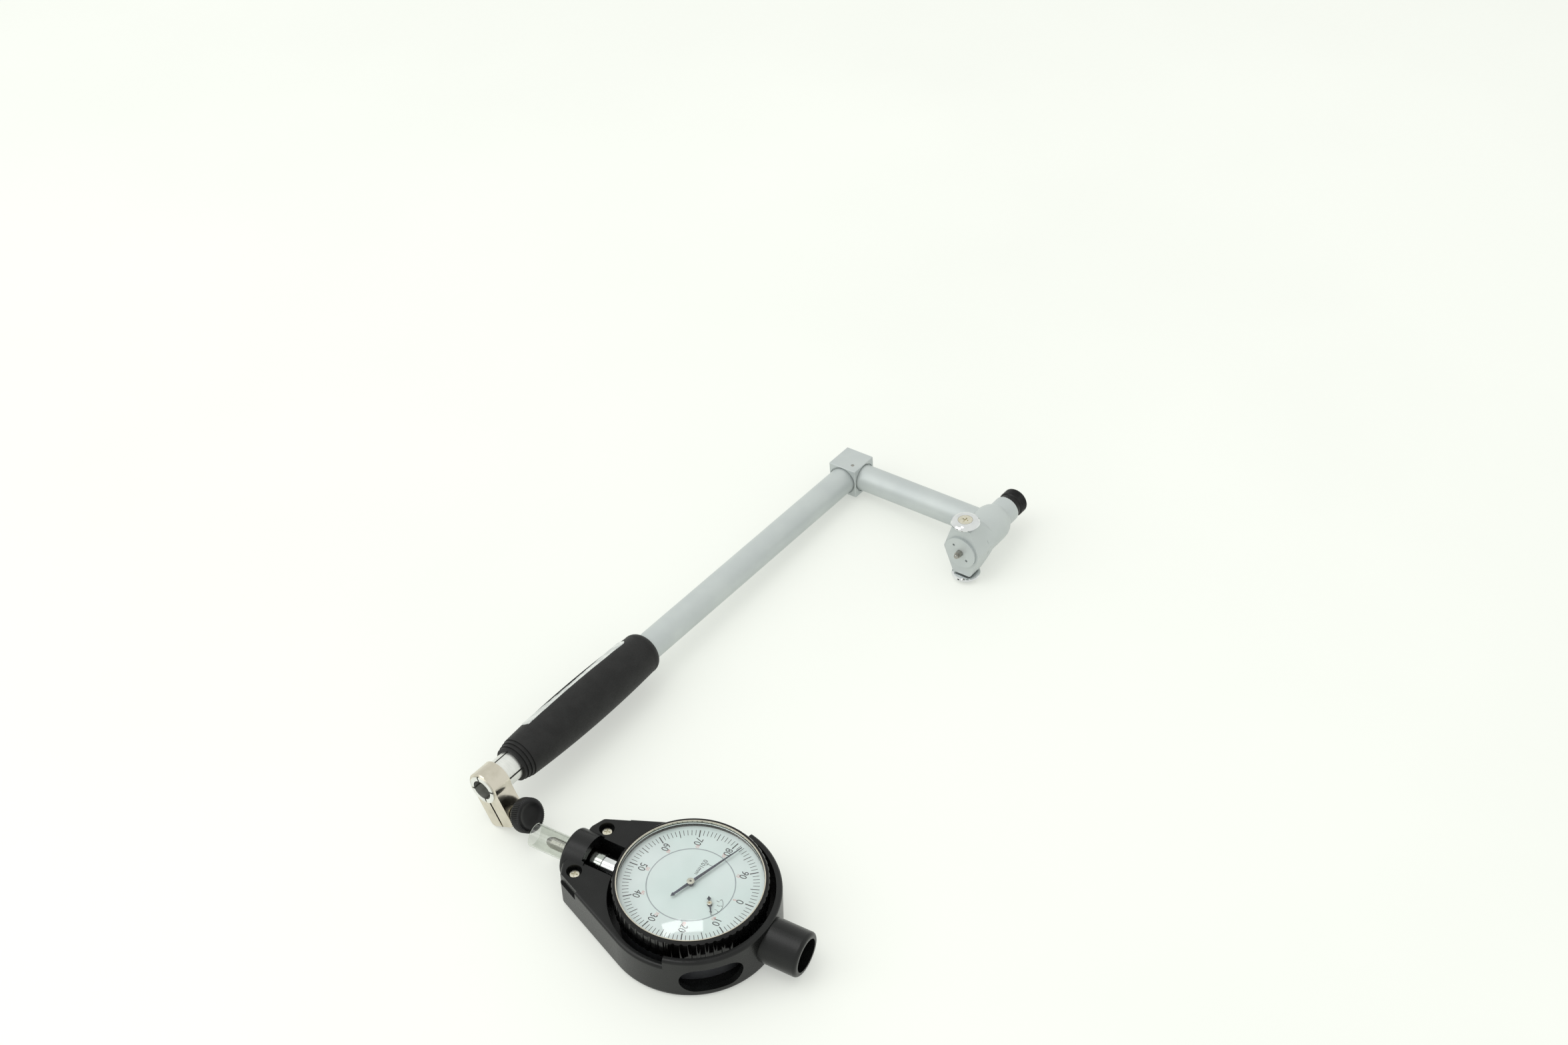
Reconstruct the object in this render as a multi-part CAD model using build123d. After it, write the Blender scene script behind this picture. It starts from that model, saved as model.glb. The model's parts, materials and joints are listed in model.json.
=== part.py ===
"""Right-angle bore gauge with its dial indicator, in a guard, lying beside it.  Millimetres.

The gauge is drawn in its own frame: origin at the centre of the elbow block, +X along the arm
towards the measuring head, -Y along the main tube towards the clamp, +Z up.  The indicator is
drawn in its own frame: origin on the table under the dial's centre, +X from the stem towards
the guard's stub, +Z up.  Both are then placed in the row frame, where z = 0 is the table.
"""
from build123d import *
from math import atan2, cos, degrees, hypot, pi, radians, sin, sqrt
import os

# ---- placing in the row frame -------------------------------------------------------------
ORIGIN = (-114.386, -62.793, 0.0)       # row origin seen from the elbow, on the table
ELBOW_HEIGHT = 7.5                     # the gauge rests on the block, a wheel and the clamp
TUBE_LEAN, ARM_LEAN = -2.477, -5.327   # degrees, about the arm and about the main tube
DIAL_PLACE = (-218.7, -89.3, 0.0)      # dial centre seen from the elbow
DIAL_HEADING = -81.8                   # degrees, direction of the guard's stub

# ---- gauge: driving dimensions --------------------------------------------------------------
REACH = 228.7                          # elbow centre to the collet's mouth
ARM = 69.1                             # elbow centre to the measuring axis
BLOCK = 13.3
TUBE_R, TUBE_BORE = 5.7, 4.2
ARM_R, ARM_BORE = 5.6, 4.0
CRANK = 3.0                            # arm length of both bell cranks
TRAVEL = 1.2                           # measuring travel of the contact
SWING = TRAVEL / CRANK / 2             # radians, half the bell cranks' turn
TIP_R = 0.7                            # rounded tips of the bell cranks
SLACK = 0.05                           # gap between a tip and the rod that it pushes
PIN_R, RUNNING = 0.75, 0.04
ROD_R = 1.3
STEM_R = 4.0                           # standard 8 mm indicator stem
GRIP_START, GRIP_END = -136.5, -213.0
RING_FRONT, RING_WIDTH = -REACH + 0.5, 8.0
EAR_TURN = -24.8                       # degrees about the tube, ears seen from straight down
EAR_REACH, EAR_HALF, SLOT = 17.0, 6.1, 0.9
SCREW_AT, KNOB_R = 13.5, 6.5
SLIT_TURN = 13.0
DISC_FACE, PLATE_FACE = -21.2, -20.2
WHEEL_Y, WHEEL_R, WHEEL_FACE = -16.95, 6.0, 14.2
NUT_BACK, NUT_FACE = 13.9, 21.05       # lock nut, along the measuring axis
SOCKET_R = 2.5                         # anvil socket

# ---- indicator: driving dimensions -----------------------------------------------------------
AXIS_Z = 9.6                           # spindle axis above the table
GUARD_R, GUARD_SIDE = 31.6, 23.6       # the guard's round end, lean of its sides in degrees
GUARD_TOP, RIM_TOP, PARTING = 15.5, 19.2, 11.5
GUARD_WALL, GUARD_BORE = 2.2, 29.4
LUG_END, SCREW_SEAT = -47.2, 12.6
NECK_R, NECK_END, NECK_BORE = 9.4, -49.5, 5.9
STUB_R, STUB_BORE, STUB_END = 8.3, 6.2, 45.1
CASE_R, CASE_BORE = 25.7, 24.2
BEZEL_R, BEZEL_BORE = 27.3, 26.0
FACE_R, DIAL_Z = 25.55, 20.7           # clear radius of the bezel, top of the printed dial
RING_R, CRYSTAL_R = 25.95, 25.4        # the bezel's seat for its bright ring, the crystal
DIAL_SPLIT = 15.4                      # between the fixed centre and the turning dial ring
SPINDLE_R, SPINDLE_TIP = 2.05, -60.2
STEM_END = -47.0
SLEEVE_R, SLEEVE_BORE, SLEEVE_MOUTH = 4.5, 4.06, -65.6
RACK_PITCH, RACK_TEETH, WHEEL_TEETH, CENTRE_TEETH = 0.625, 16, 100, 10
RACK_LINE = 1.25                       # rack's pitch line, beside the spindle's axis
COUNTER = (10.0, -4.3)
READING = 82.0                         # main pointer at rest, in dial divisions
DIAL_TURN = 4.5                        # degrees, dial ring turned from the axis
WHEEL_LEVEL = 13.8
SPRING_FROM = 12.0                     # collar on the spindle that its spring pushes

BASE = (Align.CENTER, Align.CENTER, Align.MIN)
nodes = {}


def rod(radius, start, end):
    """Cylinder from one point to another."""
    path = Vector(*end) - Vector(*start)
    place = Plane(origin=start, z_dir=path.normalized()).location
    return place * Cylinder(radius, path.length, align=BASE)


def post(radius, place, z0, z1):
    """Upright cylinder over a point of the plan."""
    return rod(radius, (*place, z0), (*place, z1))


def tube(outer, inner, start, end):
    return rod(outer, start, end) - rod(inner, start, end)


def along_y(radius, y0, y1, x=0.0):
    return rod(radius, (x, y0, 0), (x, y1, 0))


def block(x0, x1, y0, y1, z0, z1):
    """Box given by its limits."""
    size = (x1 - x0, y1 - y0, z1 - z0)
    return Pos((x0 + x1) / 2, (y0 + y1) / 2, (z0 + z1) / 2) * Box(*size)


def turned(profile, origin, direction):
    """Solid of revolution: profile points are (radius, distance along the direction)."""
    face = make_face(Plane.XZ * Polyline(*profile, close=True))
    return Plane(origin=origin, z_dir=direction).location * revolve(face, Axis.Z)


def gear(teeth, pitch_radius, thickness, tooth_at, hole):
    """Spur gear with straight flanks; a tooth points at tooth_at degrees."""
    module = 2 * pitch_radius / teeth
    step = 2 * pi / teeth
    points = []
    for tooth in range(teeth):
        centre = radians(tooth_at) + tooth * step
        for radius, width in ((-1.15, -0.30), (0.80, -0.12), (0.80, 0.12), (-1.15, 0.30)):
            r, angle = pitch_radius + radius * module, centre + width * step
            points.append((r * cos(angle), r * sin(angle)))
    face = make_face(Polyline(*points, close=True)) - Circle(hole)
    return extrude(face, thickness)


def bell_crank(pivot, first, second, offset):
    """Two-armed lever on a vertical pin; first and second are its arms' headings in degrees."""
    lever = Cylinder(1.5, 2.6)
    for heading in (first, second):
        arm = Pos(CRANK / 2, 0, 0) * Box(CRANK, 0.8, 1.8)
        tip = Pos(CRANK, 0, 0) * Cylinder(TIP_R, 1.8)
        lever += Rot(0, 0, heading + offset) * (arm + tip)
    lever -= Cylinder(PIN_R + RUNNING, 3)
    return Pos(*pivot, 0) * lever


# ---- gauge: elbow -----------------------------------------------------------------------------
HALF = BLOCK / 2
SEAT = HALF - 0.9                      # both tubes are let into the block this far from its centre
ELBOW_PIVOT = (CRANK, -CRANK)


def elbow_block():
    body = fillet(Box(BLOCK, BLOCK, BLOCK).edges(), 0.3)
    body -= along_y(TUBE_R + 0.1, -HALF, -SEAT)
    body -= along_y(TUBE_R + 0.6, -HALF, -HALF + 0.5)
    body -= rod(ARM_R + 0.1, (SEAT, 0, 0), (HALF, 0, 0))
    body -= rod(ARM_R + 0.6, (HALF - 0.5, 0, 0), (HALF, 0, 0))
    body -= block(-2.3, SEAT, -SEAT, 2.3, -1.7, 1.7)
    return body - Pos(*ELBOW_PIVOT, 0) * Cylinder(PIN_R, BLOCK)


def crank_tip(pivot, heading, turn):
    """Centre of a bell crank's tip, with the crank turned from the middle of its swing."""
    angle = radians(heading) + turn
    return (pivot[0] + CRANK * cos(angle), pivot[1] + CRANK * sin(angle))


nodes["elbow_block"] = elbow_block()
nodes["elbow_pivot_pin"] = Pos(*ELBOW_PIVOT, 0) * Cylinder(PIN_R, BLOCK - 0.3)
nodes["elbow_bell_crank"] = bell_crank(ELBOW_PIVOT, 90, 180, degrees(-SWING))
elbow_side = crank_tip(ELBOW_PIVOT, 90, -SWING)
tube_side = crank_tip(ELBOW_PIVOT, 180, -SWING)

# ---- gauge: main tube, rod and grip -----------------------------------------------------------
COLLAR_END, TUBE_END = -HALF - 4.7, -201.0
ROD_STOP = -166.0
GUIDES = (-24.0, -180.0)
GUIDE_LENGTH = 6.0
ROD_END = -202.8


def grip():
    """Barrel-shaped handle with a rounded far end, stepped rings and a recess for its plate."""
    length = GRIP_START - GRIP_END
    shoulder = (8.15, length - 4.5)
    outline = Line((TUBE_R, 0), (6.3, 0)) + ThreePointArc((6.3, 0), (7.75, 1.2), (8.4, 4.0))
    outline += ThreePointArc((8.4, 4.0), (9.35, 40.0), shoulder)
    outline += Polyline(shoulder, (7.8, length - 4.5), (7.8, length - 3), (7.4, length - 3),
                        (7.4, length - 1.4), (7.0, length - 1.4), (7.0, length), (TUBE_R, length),
                        (TUBE_R, 0))
    face = make_face(Plane.XZ * outline)
    body = Plane(origin=(0, GRIP_START, 0), z_dir=(0, -1, 0)).location * revolve(face, Axis.Z)
    return body - plate_space(0.9)


PLATE_TURN = 58.0                      # degrees above -X
PLATE_MIDDLE, PLATE_LENGTH, PLATE_WIDTH = -172.0, 56.0, 5.0


def plate_space(depth, inset=0.0):
    """Rounded slab let into the grip's side, for the recess and for the plate in it."""
    sketch = RectangleRounded(PLATE_LENGTH - 2 * inset, PLATE_WIDTH - 2 * inset, 1.4)
    slab = Pos(0, 0, 9.5 - 1.1) * extrude(sketch, depth if inset else 4)
    return Pos(0, PLATE_MIDDLE, 0) * Rot(0, PLATE_TURN - 90, 0) * Rot(0, 0, 90) * slab


def main_push_rod():
    start = tube_side[1] - TIP_R - SLACK
    body = along_y(ROD_R, start, ROD_END) + along_y(3.0, ROD_STOP, ROD_STOP - 2)
    return body + along_y(2.2, ROD_END, ROD_END - 2)


def coil(mean, wire, y0, y1, turns, x=0.0):
    """Compression spring along Y."""
    pitch = (y0 - y1 - 2 * wire) / turns
    helix = Helix(pitch=pitch, height=pitch * turns, radius=mean)
    ring = Plane(origin=helix @ 0, z_dir=helix % 0) * Circle(wire)
    return Pos(x, y0 - wire, 0) * Rot(90, 0, 0) * sweep(ring, path=helix)


nodes["tube_collar"] = (along_y(TUBE_R, -SEAT - 0.05, COLLAR_END)
                        + along_y(TUBE_BORE, COLLAR_END, COLLAR_END - 5) - along_y(2.2, 0, COLLAR_END - 5))
nodes["main_tube"] = tube(TUBE_R, TUBE_BORE, (0, COLLAR_END, 0), (0, TUBE_END, 0))
nodes["main_rod_guides"] = Compound(children=[
    tube(TUBE_BORE, ROD_R + RUNNING, (0, y, 0), (0, y - GUIDE_LENGTH, 0)) for y in GUIDES])
nodes["main_push_rod"] = main_push_rod()
nodes["rod_return_spring"] = coil(2.3, 0.3, ROD_STOP - 2.05, GUIDES[1] + 0.05, 5)
nodes["grip"] = grip()
nodes["grip_plate"] = plate_space(0.3, inset=0.15)

# ---- gauge: clamp -----------------------------------------------------------------------------


def collet():
    """Slotted aluminium sleeve that closes on the indicator's stem."""
    body = along_y(TUBE_R, TUBE_END, -REACH) - along_y(STEM_R, TUBE_END - 4, -REACH)
    body -= along_y(TUBE_BORE, TUBE_END, TUBE_END - 4)
    for quarter in range(4):
        slit = block(0, 7, -REACH, -REACH + 20, -0.35, 0.35)
        body -= Rot(0, -(SLIT_TURN + 90 * quarter), 0) * slit
    return body


def in_ears(shape):
    """Turn a shape drawn with the ears straight down to their real direction."""
    return Rot(0, EAR_TURN, 0) * shape


def clamp_ring():
    back = RING_FRONT + RING_WIDTH
    ears = block(-EAR_HALF, EAR_HALF, RING_FRONT, back, -EAR_REACH, 0)
    ears = fillet(ears.edges().filter_by(Axis.Y).group_by(Axis.Z)[0], 2.0)
    body = along_y(6.7, RING_FRONT, back) + ears
    body = chamfer(body.edges().filter_by(Plane.XZ).group_by(Axis.Y)[0], 0.3)
    body -= along_y(TUBE_R, RING_FRONT, back)
    body -= block(-SLOT / 2, SLOT / 2, RING_FRONT, back, -EAR_REACH, 0)
    middle = RING_FRONT + RING_WIDTH / 2
    return in_ears(body - rod(1.6, (-8, middle, -SCREW_AT), (8, middle, -SCREW_AT)))


def clamp_screw():
    middle, neck = RING_FRONT + RING_WIDTH / 2, 2 * EAR_HALF + 0.4
    profile = [(0, 0), (1.5, 0), (1.5, neck), (3.4, neck), (3.4, 16.3), (5.9, 16.3), (KNOB_R, 16.9),
               (KNOB_R, 20.4), (6.0, 20.9), (4.6, 20.9), (4.0, 19.6), (0, 19.2)]
    return in_ears(turned(profile, (-EAR_HALF, middle, -SCREW_AT), (1, 0, 0)))


nodes["collet"] = collet()
nodes["clamp_ring"] = clamp_ring()
nodes["clamp_screw"] = clamp_screw()

# ---- gauge: arm and measuring head ------------------------------------------------------------
SPIGOT = ARM - 11.9                    # joint line between the arm tube and the head
HEAD_PIVOT = (ARM - CRANK, -CRANK)
plunger_side = crank_tip(HEAD_PIVOT, 0, -SWING)
arm_side = crank_tip(HEAD_PIVOT, 90, -SWING)


def head_body():
    plate = [(-8.4, 0), (-4.2, 11.6), (4.2, 11.6), (8.4, 0), (4.2, -11.6), (-4.2, -11.6)]
    outline = fillet(Polygon(*reversed(plate), align=None).vertices(), 1.6)
    to_back = Plane(origin=(ARM, PLATE_FACE, 0), x_dir=(-1, 0, 0), z_dir=(0, 1, 0)).location
    profile = [(0, 0), (12.4, 0), (12.4, 6.7), (8.2, 12.4), (0, 12.4)]
    waist = turned(profile, (ARM, PLATE_FACE, 0), (0, 1, 0))
    body = (to_back * extrude(outline, 13)) & waist
    barrel = [(0, -12), (8.0, -12), (8.0, 1.5), (7.8, 3.4), (7.3, 5.1), (6.3, 6.9), (5.7, 7.2), (5.7, 13.6),
              (5.5, 13.8), (4.2, 13.8), (4.2, 18.5), (0, 18.5)]
    body += turned(barrel, (ARM, 0, 0), (0, 1, 0))
    body += rod(ARM_R, (SPIGOT, 0, 0), (ARM - 5, 0, 0)) + rod(ARM_BORE, (SPIGOT - 5, 0, 0), (SPIGOT, 0, 0))
    body -= along_y(5.05, PLATE_FACE, -6.5, ARM)
    body -= block(ARM - 5.4, ARM + 1.8, -6.6, 2.3, -1.7, 1.7)
    body -= rod(2.2, (SPIGOT - 5, 0, 0), (ARM - 3, 0, 0))
    body -= along_y(SOCKET_R, 6.0, 18.5, ARM)
    body -= Pos(*HEAD_PIVOT, 0) * Cylinder(PIN_R, 13.0)
    for side in (1, -1):
        body -= rod(1.3, (ARM, WHEEL_Y, 12 * side), (ARM, WHEEL_Y, 8 * side))
    return body


def contact_guide():
    """Flat disc with two spanner holes, and the sleeve that guides the contact."""
    body = along_y(7.0, DISC_FACE, PLATE_FACE, ARM) + along_y(5.0, PLATE_FACE, -9.0, ARM)
    body -= along_y(1.4 + RUNNING, DISC_FACE, -9.0, ARM)
    spanner_hole = along_y(0.55, DISC_FACE, DISC_FACE + 0.8, ARM)
    for offset in (2.95, -2.95):
        body -= Pos(-offset, 0, offset) * spanner_hole
    return body


def contact_plunger():
    body = along_y(1.4, -23.2, -7.8, ARM) + along_y(2.4, -8.95, -7.8, ARM)
    return body + along_y(1.1, -7.8, plunger_side[1] - TIP_R - SLACK, ARM)


def guide_wheel(side):
    """Crowned wheel with a countersunk seat for its screw; side is 1 above, -1 below."""
    profile = [(1.6, 0), (5.2, 0), (5.8, 0.25), (WHEEL_R, 0.7), (5.85, 1.1), (5.3, 1.7), (4.6, 2.0),
               (3.05, 2.0), (3.05, 1.75), (1.6, 0.5)]
    return turned(profile, (ARM, WHEEL_Y, side * (WHEEL_FACE - 2.0)), (0, 0, side))


def wheel_screw(side):
    """Countersunk screw whose shoulder lets the wheel turn."""
    head = (ARM, WHEEL_Y, side * WHEEL_FACE)
    profile = [(0, -6.2), (1.3, -6.2), (1.3, -2.4), (1.56, -2.4), (1.56, -1.5), (2.97, -0.27),
               (2.97, 0), (0, 0)]
    body = turned(profile, head, (0, 0, side))
    for turn in (0, 90):
        body -= Pos(*head) * Rot(0, 0, turn) * Box(2.6, 0.5, 1.0)
    return body


def lock_nut():
    height = NUT_FACE - NUT_BACK
    profile = [(2.75, height), (5.1, height), (5.6, height - 0.5), (5.6, 2.9), (5.0, 2.6), (5.0, 0),
               (4.3, 0), (4.3, 5.0), (2.75, 5.0)]
    return turned(profile, (ARM, NUT_BACK, 0), (0, 1, 0))


push_gap = TIP_R + SLACK
nodes["arm_tube"] = tube(ARM_R, ARM_BORE, (SEAT + 0.05, 0, 0), (SPIGOT, 0, 0))
nodes["arm_rod_guides"] = Compound(children=[
    tube(ARM_BORE, ROD_R + RUNNING, (x, 0, 0), (x + 4, 0, 0)) for x in (12.0, 44.0)])
nodes["arm_push_rod"] = rod(ROD_R, (elbow_side[0] + push_gap, 0, 0), (arm_side[0] - push_gap, 0, 0))
nodes["head_body"] = head_body()
nodes["head_pivot_pin"] = Pos(*HEAD_PIVOT, 0) * Cylinder(PIN_R, 12.0)
nodes["head_bell_crank"] = bell_crank(HEAD_PIVOT, 0, 90, degrees(-SWING))
nodes["contact_guide"] = contact_guide()
nodes["contact_plunger"] = contact_plunger()
nodes["contact_tip"] = fillet(along_y(1.0, -24.7, -23.2, ARM).edges().group_by(Axis.Y)[0], 0.6)
nodes["upper_guide_wheel"] = guide_wheel(1)
nodes["lower_guide_wheel"] = guide_wheel(-1)
nodes["wheel_screws"] = Compound(children=[wheel_screw(1), wheel_screw(-1)])
nodes["anvil_lock_nut"] = lock_nut()
GAUGE_NODES = list(nodes)

# ---- indicator: guard -------------------------------------------------------------------------


def guard_outline():
    """Teardrop: a round end with straight sides running in to the two screw lugs."""
    run = radians(GUARD_SIDE)
    touch = (-GUARD_R * sin(run), GUARD_R * cos(run))
    corner = (-44.8, touch[1] - (touch[0] + 44.8) * sin(run) / cos(run))
    half = [touch, corner, (LUG_END, 9.5)]
    points = half + [(x, -y) for x, y in reversed(half)]
    taper = Polygon(*points, align=None)
    return Circle(GUARD_R) + fillet(taper.vertices().sort_by(Axis.X)[:4], 2.0)


def side_step(side):
    """Strip cut off the front shell's edge beside a screw lug."""
    near, far = sorted((side * (GUARD_R - 0.9), side * (GUARD_R + 5)))
    return Rot(0, 0, side * GUARD_SIDE) * block(-60, -25.7, near, far, PARTING, GUARD_TOP + 1)


def guard_solid():
    """Both guard shells and the neck as one solid, before it is parted."""
    body = extrude(guard_outline(), GUARD_TOP)
    body = fillet(body.faces().sort_by(Axis.Z)[0].edges(), 1.8)
    body = fillet(body.faces().sort_by(Axis.Z)[-1].edges(), 1.2)
    ring = extrude(Circle(GUARD_R), RIM_TOP)
    ring = fillet(ring.faces().sort_by(Axis.Z)[-1].edges(), 1.2)
    ring -= post(GUARD_R + 5, (0, 0), 0, GUARD_TOP - 4)
    reach = GUARD_R * 2
    wedge = Polygon((-1, 0), (15, -reach), (reach, -reach), (reach, reach), (15, reach), align=None)
    body += ring & extrude(wedge, RIM_TOP)
    neck = rod(NECK_R, (NECK_END, 0, AXIS_Z), (-40, 0, AXIS_Z))
    body += fillet(neck.edges().group_by(Axis.X)[0], 1.2)
    body -= rod(GUARD_BORE, (0, 0, GUARD_WALL), (0, 0, RIM_TOP + 1))
    body -= block(-41.0, 0, -6.4, 6.4, AXIS_Z, RIM_TOP)
    body -= rod(6.4, (-41.0, 0, AXIS_Z), (0, 0, AXIS_Z))
    body -= rod(NECK_BORE, (NECK_END, 0, AXIS_Z), (0, 0, AXIS_Z))
    for side in (1, -1):
        body -= side_step(side)
        body -= post(2.8, screw_place(side), SCREW_SEAT, 25)
        body -= post(1.25, screw_place(side), 3.0, 25)
    return body


def screw_place(side):
    """Centre of a screw lug in plan."""
    return (-41.4, 10.7 * side)


def finger_slot():
    """Oval opening in the round side wall, beside the stub."""
    oval = Plane.XZ * SlotOverall(22.5, 11.6)
    cut = extrude(oval, 12, both=True)
    return Rot(0, 0, -47) * Pos(GUARD_R, 0, 9.0) * Rot(0, 0, 90) * cut


def stub():
    body = rod(STUB_R, (20, 0, AXIS_Z), (STUB_END, 0, AXIS_Z))
    body = fillet(body.edges().group_by(Axis.X)[-1], 1.3)
    body -= rod(GUARD_BORE, (0, 0, 0), (0, 0, 30))
    return body - rod(STUB_BORE, (15, 0, AXIS_Z), (STUB_END, 0, AXIS_Z))


whole_guard = guard_solid() - finger_slot()
lower_half = block(-60, 60, -40, 40, -1, PARTING)
stub_seat = rod(STUB_R, (20, 0, AXIS_Z), (40, 0, AXIS_Z))
nodes["guard_rear_shell"] = (whole_guard & lower_half) - stub_seat + stub()
nodes["guard_front_shell"] = (whole_guard - lower_half) - stub_seat


def guard_screw(side):
    place = (*screw_place(side), SCREW_SEAT)
    profile = [(0, -9), (1.2, -9), (1.2, 0), (2.1, 0), (2.1, 0.7), (1.7, 1.1), (0, 1.2)]
    body = turned(profile, place, (0, 0, 1))
    for turn in (20, 110):
        body -= Pos(place[0], place[1], place[2] + 1.2) * Rot(0, 0, turn) * Box(2.3, 0.45, 1.2)
    return body


nodes["guard_screws"] = Compound(children=[guard_screw(1), guard_screw(-1)])

# ---- indicator: case and movement -------------------------------------------------------------
RACK_GEAR_R = RACK_PITCH * RACK_TEETH / (2 * pi)
GEAR_CENTRES = hypot(*COUNTER)
RACK_ARBOR_Y = RACK_LINE + RACK_GEAR_R
RACK_ARBOR = (-sqrt(GEAR_CENTRES ** 2 - RACK_ARBOR_Y ** 2), RACK_ARBOR_Y)
WHEEL_PITCH_R = GEAR_CENTRES * WHEEL_TEETH / (WHEEL_TEETH + CENTRE_TEETH)
CENTRE_PITCH_R = GEAR_CENTRES - WHEEL_PITCH_R
PLATE_LOW, PLATE_HIGH, PLATE_THICK, PLATE_R = 12.5, 16.6, 0.8, 21.6
PILLARS = [(-14.0, 15.2), (14.0, 13.5), (-14.0, -14.0), (5.0, -18.5)]
ARBOR_R = 0.5
CASE_BACK, CASE_TOP = 4.2, 19.6
SPIGOT_R, PILLAR_PIN_R = 2.95, 0.8


def along_axis(radius, x0, x1):
    """Cylinder on the spindle's axis."""
    return rod(radius, (x0, 0, AXIS_Z), (x1, 0, AXIS_Z))


def indicator_case():
    body = tube(CASE_R, CASE_BORE, (0, 0, CASE_BACK), (0, 0, CASE_TOP))
    for x, y in PILLARS:
        body += post(3.4, (x * 1.12, y * 1.12), CASE_BACK, PLATE_LOW)
    body &= post(CASE_R, (0, 0), CASE_BACK, CASE_TOP)
    body -= along_axis(SPIGOT_R + 0.05, -30, 30)
    for place in PILLARS:
        body -= post(PILLAR_PIN_R, place, 8.0, PLATE_LOW)
    return body


def stem():
    """Clamping stem with a spigot that passes through the case's wall."""
    bore = SPINDLE_R + RUNNING
    body = along_axis(STEM_R, STEM_END, -25.0) - along_axis(bore, STEM_END, -20)
    body -= post(CASE_R, (0, 0), 0, CASE_TOP)
    return body + along_axis(SPIGOT_R, -CASE_R - 0.02, -22) - along_axis(bore, -CASE_R - 1, -20)


def spindle_cap():
    """Closed cap over the spindle's far end, with a spigot in the case's wall."""
    bore = SPINDLE_R + 0.3
    body = along_axis(3.4, CASE_R - 0.3, 38) - post(CASE_R, (0, 0), 0, CASE_TOP)
    body += along_axis(SPIGOT_R, 22, CASE_R + 0.2)
    return body - along_axis(bore, 20, 36.8)


def movement_plate(z):
    """Plate of the movement, with a bearing for each arbor and a hole for each pillar."""
    body = post(PLATE_R, (0, 0), z, z + PLATE_THICK)
    for place in (RACK_ARBOR, COUNTER, (0, 0)):
        body -= post(ARBOR_R + RUNNING, place, z, z + PLATE_THICK)
    for place in PILLARS:
        body -= post(PILLAR_PIN_R, place, z, z + PLATE_THICK)
    return body


def spiral_spring(inner, outer, turns, width):
    """Flat hairspring: a thin strip wound between two radii."""
    steps = int(turns * 24)
    path = []
    for step in range(steps + 1):
        radius = inner + (outer - inner) * step / steps
        angle = 2 * pi * turns * step / steps
        path.append((radius, angle))
    strip = [(r * cos(a), r * sin(a)) for r, a in path]
    strip += [((r + 0.15) * cos(a), (r + 0.15) * sin(a)) for r, a in reversed(path)]
    return extrude(make_face(Polyline(*strip, close=True)), width)


nodes["indicator_case"] = indicator_case()
nodes["case_back"] = (post(CASE_R, (0, 0), GUARD_WALL, CASE_BACK)
                      - post(ARBOR_R + RUNNING, RACK_ARBOR, 3.4, 4.4))
nodes["stem"] = stem()
nodes["spindle_cap"] = spindle_cap()
nodes["movement_lower_plate"] = movement_plate(PLATE_LOW)
nodes["movement_upper_plate"] = movement_plate(PLATE_HIGH)
nodes["movement_pillars"] = Compound(children=[
    post(1.4, place, PLATE_LOW + PLATE_THICK, PLATE_HIGH) + post(PILLAR_PIN_R, place, 8.2, PLATE_HIGH + 1.4)
    for place in PILLARS])
nodes["hairspring"] = Pos(*COUNTER, 14.9) * spiral_spring(1.2, 4.6, 5, 0.6)
nodes["dial_centre"] = (post(DIAL_SPLIT - 0.15, (0, 0), DIAL_Z - 0.5, DIAL_Z)
                        - post(0.9, (0, 0), 18, 22) - post(0.9, COUNTER, 18, 22))
nodes["dial_studs"] = Compound(children=[
    post(0.7, (12.5 * cos(a), 12.5 * sin(a)), PLATE_HIGH + PLATE_THICK, DIAL_Z - 0.5)
    for a in (radians(60), radians(180), radians(300))])

# ---- indicator: spindle, gear train and pointers ----------------------------------------------


def spindle():
    """Round spindle with a rack cut beside its axis."""
    body = rod(SPINDLE_R, (SPINDLE_TIP + 6.0, 0, AXIS_Z), (31.5, 0, AXIS_Z))
    body += rod(2.7, (SPRING_FROM - 1.0, 0, AXIS_Z), (SPRING_FROM, 0, AXIS_Z))
    rack_from, rack_to = RACK_ARBOR[0] - 5.0, RACK_ARBOR[0] + 2.2
    module = RACK_PITCH / pi
    body -= block(rack_from, rack_to, RACK_LINE - 1.15 * module, 3, AXIS_Z - 1.2, AXIS_Z + 1.2)
    tooth = Polyline((-0.30 * RACK_PITCH, -1.3 * module), (-0.12 * RACK_PITCH, 0.8 * module),
                     (0.12 * RACK_PITCH, 0.8 * module), (0.30 * RACK_PITCH, -1.3 * module), close=True)
    profile = extrude(make_face(tooth), 2.4)
    count = int(5.0 / RACK_PITCH)
    for index in range(-count, 4):
        x = RACK_ARBOR[0] + index * RACK_PITCH
        if rack_from + 0.2 < x < rack_to - 0.2:
            body += Pos(x, RACK_LINE, AXIS_Z - 1.2) * profile
    return body


def spindle_spring():
    turn = Pos(SPRING_FROM + 0.05, 0, AXIS_Z) * Rot(0, 0, 90)
    return turn * coil(2.4, 0.2, 0, -(21.9 - SPRING_FROM), 6)


def toward(start, end):
    """Heading in degrees from one centre to another."""
    return degrees(atan2(end[1] - start[1], end[0] - start[0]))


def meshing_tooth(heading, driver_tooth, driver_teeth, teeth):
    """Where a gear's tooth stands so that it meshes with the driver; heading runs driver to gear."""
    offset = (heading - driver_tooth) * driver_teeth / 360
    return heading + 180 + (offset + 0.5) * 360 / teeth


def on_arbor(place, z, shape):
    return Pos(*place, z) * shape


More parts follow.
